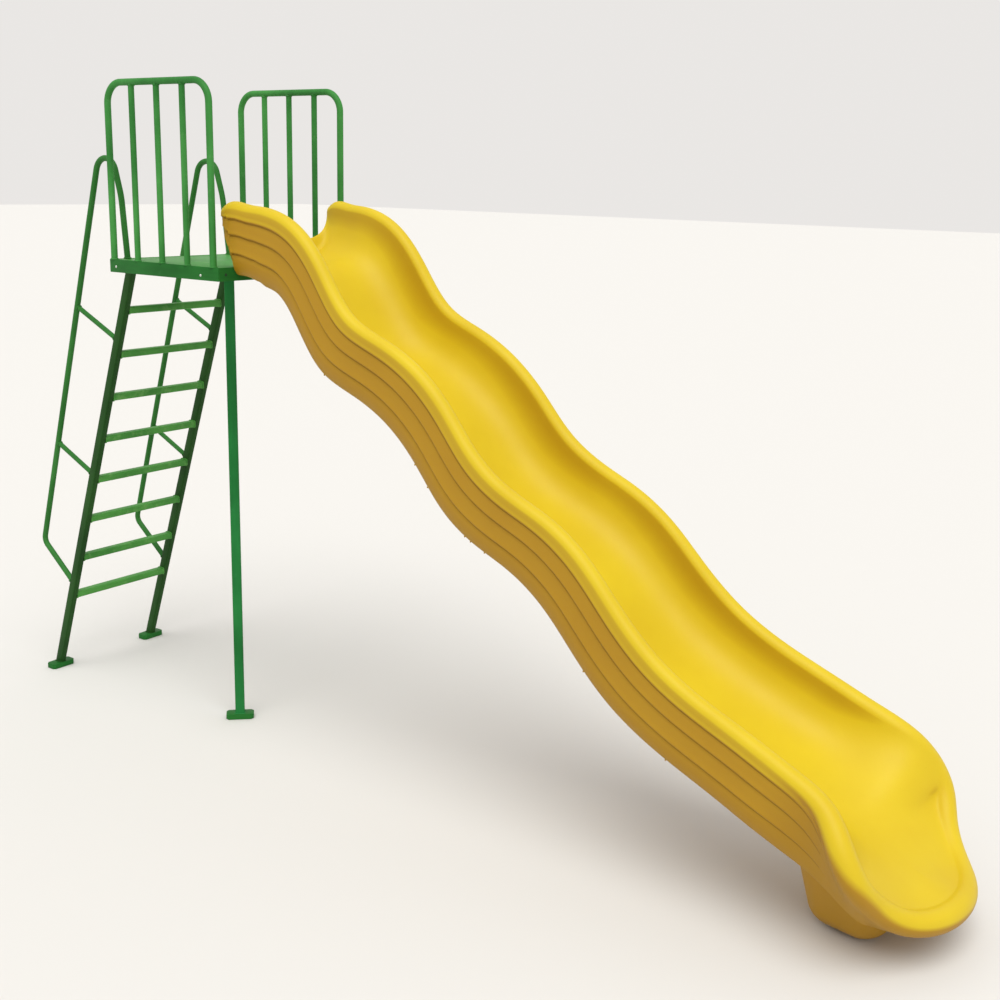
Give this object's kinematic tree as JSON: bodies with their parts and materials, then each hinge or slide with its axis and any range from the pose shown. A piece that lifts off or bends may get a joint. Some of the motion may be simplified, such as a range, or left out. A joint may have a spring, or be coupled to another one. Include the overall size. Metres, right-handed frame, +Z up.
{
  "type": "wave playground slide",
  "caption": "Free-standing playground slide: wavy moulded plastic chute with a rounded exit, on a green tubular steel tower with ladder, handrails and guarded deck.",
  "frame": {"origin": "on the ground, under the middle of the whole slide's bounding box", "axes": "+X the way down the slide, +Y to the left of somebody sliding down, +Z up"},
  "size_m": [4.8326, 0.9884, 2.992],
  "materials": {
    "green_steel": "semi-gloss green powder coat over welded steel tube and plate",
    "yellow_polyethylene": "smooth rotomoulded polyethylene, soft sheen"
  },
  "bodies": {
    "root": {"deck_bearer": "green_steel", "deck_plate": "green_steel", "deck_skirt_back": "green_steel", "deck_skirt_front": "green_steel", "deck_skirt_left": "green_steel", "deck_skirt_right": "green_steel", "front_post": "green_steel", "front_post_foot": "green_steel", "guard_rail_left": "green_steel", "guard_rail_right": "green_steel", "handrail_left": "green_steel", "handrail_right": "green_steel", "handrail_standoff_left_1": "green_steel", "handrail_standoff_left_2": "green_steel", "handrail_standoff_right_1": "green_steel", "handrail_standoff_right_2": "green_steel", "ladder_foot_left": "green_steel", "ladder_foot_right": "green_steel", "ladder_rung_1": "green_steel", "ladder_rung_2": "green_steel", "ladder_rung_3": "green_steel", "ladder_rung_4": "green_steel", "ladder_rung_5": "green_steel", "ladder_rung_6": "green_steel", "ladder_rung_7": "green_steel", "ladder_rung_8": "green_steel", "ladder_stringer_left": "green_steel", "ladder_stringer_right": "green_steel", "slide_bracket": "green_steel", "slide_chute": "yellow_polyethylene"}
  },
  "joints": []
}
